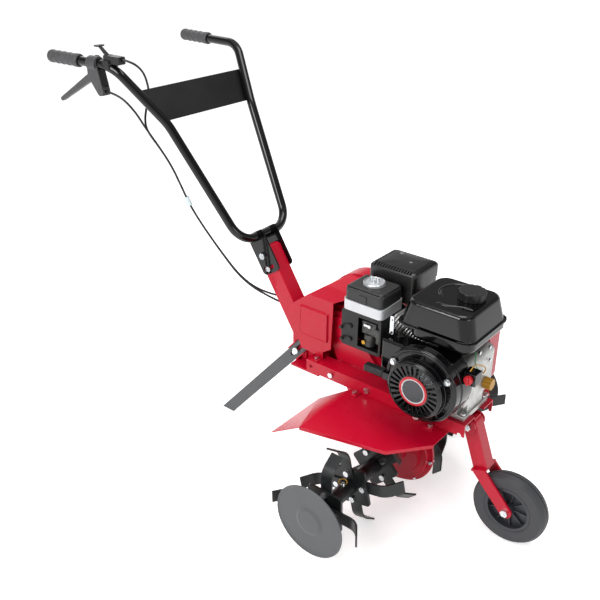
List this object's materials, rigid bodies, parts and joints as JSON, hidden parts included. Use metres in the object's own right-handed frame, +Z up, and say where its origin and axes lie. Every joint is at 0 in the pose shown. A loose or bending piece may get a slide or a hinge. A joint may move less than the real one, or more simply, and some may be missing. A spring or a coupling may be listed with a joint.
{
  "type": "garden tiller",
  "caption": "Petrol garden tiller: red frame with engine, chain-driven tine rotor under folded fenders, front transport wheel, drag bar and tilting handlebar with clutch lever and throttle.",
  "frame": {"origin": "on the ground below the middle of the machine's bounding box", "axes": "+X forward from the grips to the front wheel, +Y to the machine's left, +Z up"},
  "size_m": [1.4882, 0.8152, 1.1477],
  "materials": {
    "red_paint": "gloss paint",
    "bright_bolt": "zinc plated",
    "bearing_steel": "ground",
    "cast_pulley": "as cast and turned",
    "belt_rubber": "matt",
    "crankcase_alloy": "as cast",
    "engine_black": "gloss",
    "silver_band": "bright",
    "muffler_black": "heat-proof matt",
    "plug_white": "glazed",
    "oil_yellow": "satin",
    "black_plastic": "fine grain",
    "switch_red": "gloss",
    "zinc": "zinc plated",
    "hub_black": "satin paint",
    "tine_steel": "satin paint",
    "tine_bolt": "yellow passivated",
    "disc_grey": "satin paint",
    "tyre": "matt",
    "rim_black": "satin",
    "black_tube": "gloss paint",
    "panel_black": "matt paint",
    "grip_grey": "matt, ribbed",
    "lever_grey": "fine grain",
    "cable_black": "satin sheath",
    "bar_grey": "satin paint"
  },
  "bodies": {
    "frame": {"main_frame": "red_paint", "mast": "red_paint", "right_fender": "red_paint", "left_fender": "red_paint", "belt_guard": "red_paint", "belt_cover": "red_paint", "right_case": "red_paint", "left_case": "red_paint", "frame_bolts": "bright_bolt", "bearings": "bearing_steel", "chain": "bearing_steel", "drive_belts": "belt_rubber", "hitch_pin": "bright_bolt", "engine_block": "crankcase_alloy", "cylinder_head": "crankcase_alloy", "rocker_cover": "engine_black", "fan_housing": "engine_black", "recoil_cover": "engine_black", "fuel_tank": "engine_black", "carburettor": "crankcase_alloy", "control_box": "engine_black", "air_cleaner_base": "silver_band", "air_cleaner_cover": "engine_black", "muffler": "muffler_black", "muffler_guard": "muffler_black", "spark_plug": "plug_white", "oil_plug": "oil_yellow"},
    "rotor": {"rotor_axle": "bearing_steel", "large_sprocket": "cast_pulley", "tine_hubs": "hub_black", "tines": "tine_steel", "tine_bolts": "tine_bolt", "side_discs": "disc_grey"},
    "input": {"input_shaft": "bearing_steel", "driven_pulley": "cast_pulley"},
    "crank": {"crankshaft": "bearing_steel", "engine_pulley": "cast_pulley"},
    "fork": {"wheel_fork": "red_paint", "wheel_axle": "bright_bolt"},
    "wheel": {"wheel_tyre": "tyre", "wheel_rim": "rim_black"},
    "handle": {"handlebar": "black_tube", "handle_panel": "panel_black", "grips": "grip_grey", "clutch_bracket": "lever_grey", "throttle_body": "black_plastic", "clutch_cable": "cable_black", "throttle_cable": "cable_black"},
    "clutch": {"clutch_lever": "lever_grey"},
    "throttle": {"throttle_lever": "black_plastic"},
    "bar": {"drag_bar": "bar_grey"},
    "starter": {"pull_handle": "black_plastic"},
    "cap": {"fuel_cap": "black_plastic"},
    "choke": {"choke_lever": "black_plastic"},
    "fuel": {"fuel_lever": "black_plastic"},
    "governor": {"governor_arm": "zinc"},
    "switch": {"engine_switch": "switch_red"},
    "idler": {"idler_arm": "zinc"},
    "idler_wheel": {"idler_pulley": "rim_black"}
  },
  "joints": [
    {"name": "rotor_spin", "type": "hinge", "parent": "frame", "child": "rotor", "pos_m": [0.302, 0, 0.134], "axis": [0, 1, 0], "continuous": true},
    {"name": "input_spin", "type": "hinge", "parent": "frame", "child": "input", "pos_m": [0.094, 0, 0.446], "axis": [0, 1, 0], "continuous": true},
    {"name": "crank_spin", "type": "hinge", "parent": "frame", "child": "crank", "pos_m": [0.427, 0, 0.446], "axis": [0, 1, 0], "continuous": true},
    {"name": "wheel_swing", "type": "hinge", "parent": "frame", "child": "fork", "pos_m": [0.514, 0, 0.306], "axis": [0, -1, 0], "range_deg": [0, 60]},
    {"name": "wheel_spin", "type": "hinge", "parent": "fork", "child": "wheel", "pos_m": [0.644, 0, 0.1], "axis": [0, 1, 0], "continuous": true},
    {"name": "drag_depth", "type": "slide", "parent": "frame", "child": "bar", "axis": [-0.6561, 0, -0.7547], "range_m": [-0.022, 0.022]},
    {"name": "handle_tilt", "type": "hinge", "parent": "frame", "child": "handle", "pos_m": [-0.166, 0, 0.585], "axis": [0, 1, 0], "range_deg": [-15, 15], "deforming": ["clutch_cable", "throttle_cable"]},
    {"name": "clutch_squeeze", "type": "hinge", "parent": "handle", "child": "clutch", "pos_m": [-0.575, -0.2399, 1.06828], "axis": [0, 1, 0], "range_deg": [0, 26], "stiffness_Nm_per_rad": 3, "springref_deg": -20.05},
    {"name": "throttle_turn", "type": "hinge", "parent": "handle", "child": "throttle", "pos_m": [-0.512, -0.233, 1.119], "axis": [0, 1, 0], "range_deg": [0, 60]},
    {"name": "idler_swing", "type": "hinge", "parent": "frame", "child": "idler", "pos_m": [0.214, 0.099, 0.478], "axis": [0, 1, 0], "range_deg": [0, 10.2]},
    {"name": "idler_spin", "type": "hinge", "parent": "idler", "child": "idler_wheel", "pos_m": [0.276, 0.124, 0.42875], "axis": [0, 1, 0], "continuous": true},
    {"name": "starter_pull", "type": "slide", "parent": "frame", "child": "starter", "axis": [-1, 0, 0], "range_m": [0, 0.5], "stiffness_N_per_m": 20, "springref_m": -0.3},
    {"name": "cap_turn", "type": "hinge", "parent": "frame", "child": "cap", "pos_m": [0.464, 0.016, 0.65], "axis": [0, 0, 1], "range_deg": [0, 90]},
    {"name": "choke_turn", "type": "hinge", "parent": "frame", "child": "choke", "pos_m": [0.19, -0.1, 0.512], "axis": [0, 1, 0], "range_deg": [0, 60]},
    {"name": "fuel_turn", "type": "hinge", "parent": "frame", "child": "fuel", "pos_m": [0.19, -0.1, 0.474], "axis": [0, 1, 0], "range_deg": [0, 90]},
    {"name": "governor_swing", "type": "hinge", "parent": "frame", "child": "governor", "pos_m": [0.31, -0.0895, 0.5325], "axis": [0, -1, 0], "range_deg": [0, 20]},
    {"name": "switch_turn", "type": "hinge", "parent": "frame", "child": "switch", "pos_m": [0.534, -0.1, 0.488], "axis": [0, 1, 0], "range_deg": [0, 45]}
  ],
  "couplings": [
    {"joint": "input_spin", "follows": "rotor_spin", "ratio": 4.5},
    {"joint": "idler_swing", "follows": "clutch_squeeze", "ratio": 0.3846},
    {"joint": "governor_swing", "follows": "throttle_turn", "ratio": 0.333}
  ]
}
